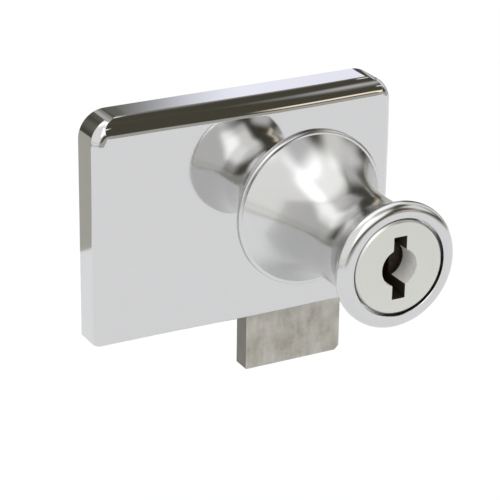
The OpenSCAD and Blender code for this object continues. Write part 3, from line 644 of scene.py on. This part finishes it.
def arcPoints(centre, radius, first, last, steps):
    angles = [math.radians(first + (last - first) * i / steps) for i in range(steps + 1)]
    return [(centre[0] + radius * math.cos(a), centre[1] + radius * math.sin(a)) for a in angles]


def sectionMesh(name, points):
    mesh = bpy.data.meshes.new(name)
    mesh.from_pydata([Vector((*p[:2], 0)) * mm + Vector((0, 0, p[2] if len(p) > 2 else 0)) for p in points],
                     [(i, i + 1) for i in range(len(points) - 1)], [])
    return mesh


# knob: radii and places forward of the housing's face, all in mm
pullKnob = {"faceY": -8.4, "sunk": 0.3, "boreR": 6.15, "grooveR": 6.95, "grooves": (6.5, 19.4),
            "baseR": 12.45, "lip": 0.7, "lipStep": 0.6, "trumpetCurve": 22.0, "neckR": 7.5, "flangeCurve": 16.0,
            "flangeR": 9.65, "rimR": 1.3, "length": 26.0, "seatR": 7.5, "seat": 24.35, "bevel": 0.06, "segments": 192,
            "steps": {"lip": 10, "trumpet": 44, "flange": 30, "rim": 28}}


def makeKnob(k):
    lipCentre = Vector((k["baseR"] - k["lip"] / 2, k["lip"] / 2))
    rimCentre = Vector((k["flangeR"] - k["rimR"], k["length"] - k["rimR"]))
    # one long hollow curve runs from the lip to the neck
    step = k["baseR"] - k["lipStep"] - k["neckR"]
    lean = math.acos(1 - step / k["trumpetCurve"])
    trumpetCentre = Vector((k["neckR"] + k["trumpetCurve"], k["lip"] + k["trumpetCurve"] * math.sin(lean)))
    # a second one runs from the neck into the rolled rim, without a crease
    reach, aside = k["flangeCurve"] + k["rimR"], k["neckR"] + k["flangeCurve"] - rimCentre.x
    swing = math.acos(aside / reach)
    flangeCentre = rimCentre + Vector((aside, -reach * math.sin(swing)))
    leanDegrees, swingDegrees = math.degrees(lean), math.degrees(swing)
    points = [(k["boreR"], -k["sunk"]), (lipCentre.x, -k["sunk"])]
    steps = k["steps"]
    points += arcPoints(lipCentre, k["lip"] / 2, -90, 90, steps["lip"])
    points += arcPoints(trumpetCentre, k["trumpetCurve"], 180 + leanDegrees, 180, steps["trumpet"])
    points += arcPoints(flangeCentre, k["flangeCurve"], 180, 180 - swingDegrees, steps["flange"])
    points += arcPoints(rimCentre, k["rimR"], -swingDegrees, 90, steps["rim"])[1:]
    points += [(k["seatR"] + k["bevel"], k["length"]), (k["seatR"], k["length"] - k["bevel"]), (k["seatR"], k["seat"]),
               (k["boreR"], k["seat"]), (k["boreR"], k["grooves"][1]), (k["grooveR"], k["grooves"][1]),
               (k["grooveR"], k["grooves"][0]), (k["boreR"], k["grooves"][0]), (k["boreR"], -k["sunk"])]
    section = sectionMesh("knobSection", [(r, k["faceY"] - forward) for r, forward in points])
    # a plain section has no thread or socket, so its pitch and corners only have to be above 0
    piece = growPiece("pullKnob", turnedTree, section, {
        "Segments": k["segments"], "Pitch": 1.0, "Corners": 6,
        "Finish": makeChrome("chromeOnTurnedKnob", *chromeGloss["knob"])})
    finishPiece(piece, "lock_case", "knob")
    print("knob turned")


makeKnob(pullKnob)


# set screws: headless, with a dog point on the plate and a socket at the back
setScrew = {"radius": 2.45, "pitch": 0.8, "threadDepth": 0.9, "pointR": 1.25, "front": 8.05, "shoulder": 8.6,
            "back": 14.5, "chamfer": 0.4, "socketR": 1.45, "socketEnd": 12.3, "coneEnd": 11.9, "corners": 6,
            "pointBevel": 0.15, "socketBevel": 0.12, "segments": 64, "stepsPerPitch": 10,
            "places": {"left": (-12.125, 0.0), "right": (1.875, 0.0)}}


def makeSetScrews(s):
    first, last = s["shoulder"] + s["chamfer"], s["back"] - s["chamfer"]
    steps = round((last - first) / s["pitch"] * s["stepsPerPitch"])
    points = [(0, s["front"]), (s["pointR"] - s["pointBevel"], s["front"]),
              (s["pointR"], s["front"] + s["pointBevel"]), (s["pointR"], s["shoulder"]),
              (s["radius"] - s["chamfer"], s["shoulder"])]
    for i in range(steps + 1):
        along = first + (last - first) * i / steps
        runOut = min(1, (along - first) / s["pitch"], (last - along) / s["pitch"])
        points.append((s["radius"], along, runOut))
    points += [(s["radius"] - s["chamfer"], s["back"]), (s["socketR"] + s["socketBevel"], s["back"]),
               (s["socketR"], s["back"] - s["socketBevel"], -1), (s["socketR"], s["socketEnd"], -1), (0, s["coneEnd"])]
    for side, (x, z) in s["places"].items():
        piece = growPiece(side + "SetScrew", turnedTree, sectionMesh("screwSection", points),
                          {"Segments": s["segments"], "Axis Place": (x * mm, 0, z * mm), "Pitch": s["pitch"] * mm,
                           "Thread Depth": s["threadDepth"] * mm, "Corners": s["corners"],
                           "Finish": finishes["black_steel"]})
        finishPiece(piece, side + "_screw", side + "_set_screw")


makeSetScrews(setScrew)
print("set screws cut")


# wafer springs: three coils in a row along the plug
waferSprings = {"coilR": 0.42, "wireR": 0.11, "turns": 3.5, "length": 2.53, "spacing": 4.0, "count": 3,
                "turnSteps": 28, "wireSteps": 10,
                "rows": {"raising": {"x": 3.23, "y": -26.4, "fixedZ": -2.53},
                         "lowering": {"x": -3.23, "y": -24.4, "fixedZ": 2.53}}}


def makeCoilTree(s):
    tree, given = startTree("coilRow", {
        "First Coil": "Vector", "Spacing": "Vector", "Count": "Int", "Coil Radius": "Float",
        "Wire Radius": "Float", "Turns": "Float", "Height": "Float", "Finish": "Material"})
    path = addNode(tree, "GeometryNodeCurveSpiral", inputs={
        "Resolution": s["turnSteps"], "Rotations": given["Turns"], "Start Radius": given["Coil Radius"],
        "End Radius": given["Coil Radius"], "Height": given["Height"]})
    wire = addNode(tree, "GeometryNodeCurvePrimitiveCircle",
                   inputs={"Resolution": s["wireSteps"], "Radius": given["Wire Radius"]})
    coil = addNode(tree, "GeometryNodeCurveToMesh", inputs={"Curve": path, "Profile Curve": wire, "Fill Caps": True})
    line = addNode(tree, "GeometryNodeMeshLine", inputs={"Count": given["Count"], "Start Location": given["First Coil"],
                                                         "Offset": given["Spacing"]})
    row = addNode(tree, "GeometryNodeInstanceOnPoints", inputs={"Points": line, "Instance": coil})
    endTree(tree, row, given)
    return tree


def makeSprings(s):
    tree = makeCoilTree(s)
    for kind, row in s["rows"].items():
        low = min(row["fixedZ"], 0) + s["wireR"]
        piece = growPiece(kind + "Springs", tree, bpy.data.meshes.new("springSeed"),
                          {"First Coil": (row["x"] * mm, row["y"] * mm, low * mm), "Spacing": (0, s["spacing"] * mm, 0),
                           "Count": s["count"], "Coil Radius": s["coilR"] * mm, "Wire Radius": s["wireR"] * mm,
                           "Turns": s["turns"], "Height": (s["length"] - 2 * s["wireR"]) * mm,
                           "Finish": finishes["spring_steel"]})
        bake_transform(piece)
        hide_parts(kind + "_springs")


makeSprings(waferSprings)
print("springs wound")
